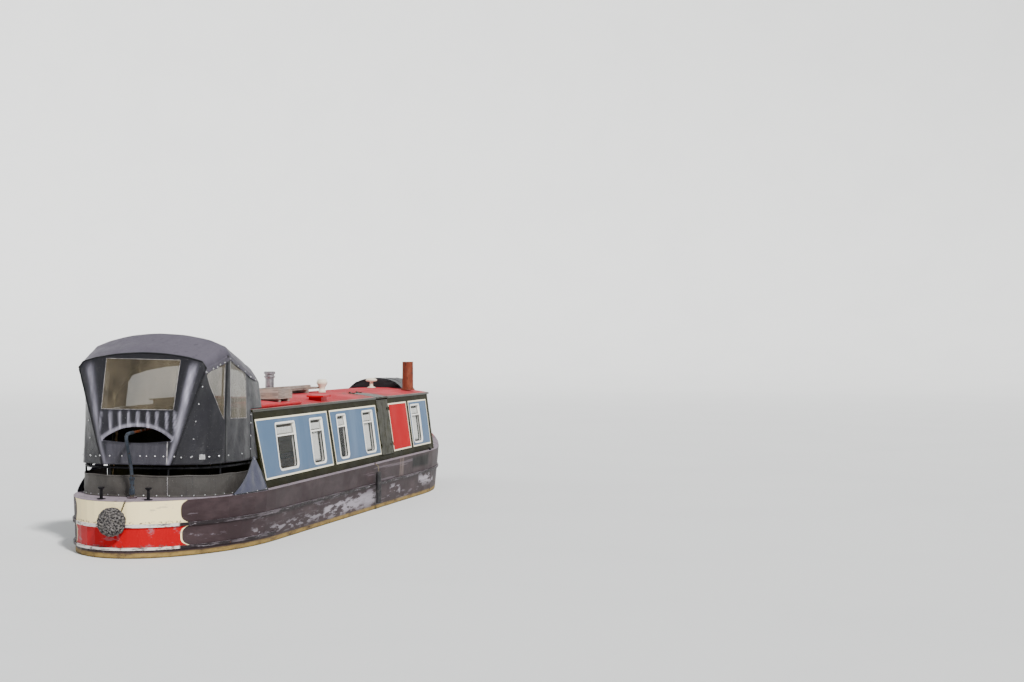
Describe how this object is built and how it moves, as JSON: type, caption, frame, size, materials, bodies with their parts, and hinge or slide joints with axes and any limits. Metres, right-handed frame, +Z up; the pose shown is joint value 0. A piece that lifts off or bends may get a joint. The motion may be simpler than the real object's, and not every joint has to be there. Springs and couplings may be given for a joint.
{
  "type": "narrowboat",
  "caption": "Short steel narrowboat: rounded counter stern under a cloth hood, long low cabin with framed windows and side hatch, roof gear, covered well deck and raked bow.",
  "frame": {"origin": "on the flat underside of the baseplate, under the middle of the hull's length, on the centreline", "axes": "+X towards the bow, +Y to port, +Z up; the waterline when afloat is at z = 0.520 m"},
  "size_m": [11.313, 2.1603, 2.815],
  "materials": {
    "hull_paint": "weathered bituminous paint",
    "strake_paint": "weathered bituminous paint",
    "under_steel": "rough, below the waterline",
    "cabin_green": "gloss coach paint",
    "panel_blue": "gloss coach paint",
    "roof_red": "faded, matt",
    "bright_red": "gloss",
    "cream_paint": "gloss",
    "window_glass": "clear, in painted frames",
    "canvas": "coated cloth",
    "black_canvas": "coated cloth",
    "tube_steel": "dull, weathered",
    "blue_paint": "satin, worn",
    "rusty_steel": "rusty",
    "grey_tin": "dull",
    "weathered_wood": "grey, unvarnished",
    "rope": "knotted rope, weathered",
    "fender_rubber": "dull",
    "bronze": "cast",
    "engine_paint": "engine enamel"
  },
  "bodies": {
    "boat": {"hull_aft": "hull_paint", "hull_middle": "hull_paint", "hull_fore": "hull_paint", "rubbing_strake_upper": "strake_paint", "rubbing_strake_lower": "strake_paint", "engine_block": "engine_paint", "dolly_port": "strake_paint", "dolly_starboard": "strake_paint", "hood_frame": "tube_steel", "hood": "canvas", "stern_dodger": "canvas", "quarter_screen_port": "canvas", "quarter_screen_starboard": "canvas", "stern_fender": "rope", "cabin_side_port": "panel_blue", "cabin_side_starboard": "panel_blue", "cabin_roof": "roof_red", "rear_bulkhead": "cabin_green", "front_bulkhead": "cabin_green", "chimney_aft": "grey_tin", "chimney_fore": "rusty_steel", "wooden_trough": "weathered_wood", "plank_rack": "weathered_wood", "boat_pole": "bright_red", "roof_hatch_base": "bright_red", "flared_vent": "cream_paint", "mushroom_vent": "cream_paint", "cratch_cover": "black_canvas", "cratch_board": "weathered_wood", "bow_stud": "strake_paint", "bow_fender": "rope", "side_fender": "fender_rubber", "window_port_1": "window_glass", "window_port_2": "window_glass", "window_port_3": "window_glass", "window_port_4": "window_glass", "window_port_5": "window_glass", "window_starboard_1": "window_glass", "window_starboard_2": "window_glass", "window_starboard_3": "window_glass", "window_starboard_4": "window_glass", "window_starboard_5": "window_glass"},
    "propeller": {"propeller": "bronze"},
    "rudder": {"rudder_blade": "under_steel", "tiller_neck": "blue_paint", "tiller_bar": "rusty_steel"},
    "rear_door_port": {"rear_door_port": "cabin_green"},
    "rear_door_starboard": {"rear_door_starboard": "cabin_green"},
    "front_door_port": {"front_door_port": "cabin_green"},
    "front_door_starboard": {"front_door_starboard": "cabin_green"},
    "side_door_aft": {"side_door_aft": "cabin_green"},
    "side_door_fore": {"side_door_fore": "cabin_green"},
    "side_hatch_flap": {"side_hatch_flap": "cabin_green"},
    "slide_hatch": {"slide_hatch": "roof_red"},
    "roof_hatch_lid": {"roof_hatch_lid": "bright_red"},
    "gas_locker_lid": {"gas_locker_lid": "strake_paint"}
  },
  "joints": [
    {"name": "propeller_spin", "type": "hinge", "parent": "boat", "child": "propeller", "pos_m": [-4.705, 0, 0.26], "axis": [1, 0, 0], "continuous": true},
    {"name": "rudder_turn", "type": "hinge", "parent": "boat", "child": "rudder", "pos_m": [-5.125, 0, 0.5], "axis": [0, 0, 1], "range_deg": [-35, 35]},
    {"name": "rear_door_port_swing", "type": "hinge", "parent": "boat", "child": "rear_door_port", "pos_m": [-3.7723, 0.302, 1.5], "axis": [0, 0, -1], "range_deg": [0, 100]},
    {"name": "rear_door_starboard_swing", "type": "hinge", "parent": "boat", "child": "rear_door_starboard", "pos_m": [-3.7723, -0.302, 1.5], "axis": [0, 0, 1], "range_deg": [0, 100]},
    {"name": "front_door_port_swing", "type": "hinge", "parent": "boat", "child": "front_door_port", "pos_m": [3.2503, 0.292, 1.3], "axis": [0, 0, 1], "range_deg": [0, 95]},
    {"name": "front_door_starboard_swing", "type": "hinge", "parent": "boat", "child": "front_door_starboard", "pos_m": [3.2503, -0.292, 1.3], "axis": [0, 0, -1], "range_deg": [0, 95]},
    {"name": "side_door_aft_swing", "type": "hinge", "parent": "boat", "child": "side_door_aft", "pos_m": [0.623, -0.8975, 1.5], "axis": [0, -0.1283, -0.9917], "range_deg": [0, 165]},
    {"name": "side_door_fore_swing", "type": "hinge", "parent": "boat", "child": "side_door_fore", "pos_m": [1.147, -0.8975, 1.5], "axis": [0, 0.1283, 0.9917], "range_deg": [0, 165]},
    {"name": "side_hatch_flap_lift", "type": "hinge", "parent": "boat", "child": "side_hatch_flap", "pos_m": [0.885, -0.432, 2.0369], "axis": [-1, 0, 0], "range_deg": [0, 165]},
    {"name": "slide_hatch_travel", "type": "slide", "parent": "boat", "child": "slide_hatch", "axis": [1, 0, 0], "range_m": [0, 0.55]},
    {"name": "roof_hatch_lid_lift", "type": "hinge", "parent": "boat", "child": "roof_hatch_lid", "pos_m": [-1.325, -0.607, 2.0425], "axis": [-1, 0, 0], "range_deg": [0, 80]},
    {"name": "gas_locker_lid_lift", "type": "hinge", "parent": "boat", "child": "gas_locker_lid", "pos_m": [5.002, 0, 1.2313], "axis": [0, 1, 0], "range_deg": [0, 100]}
  ]
}
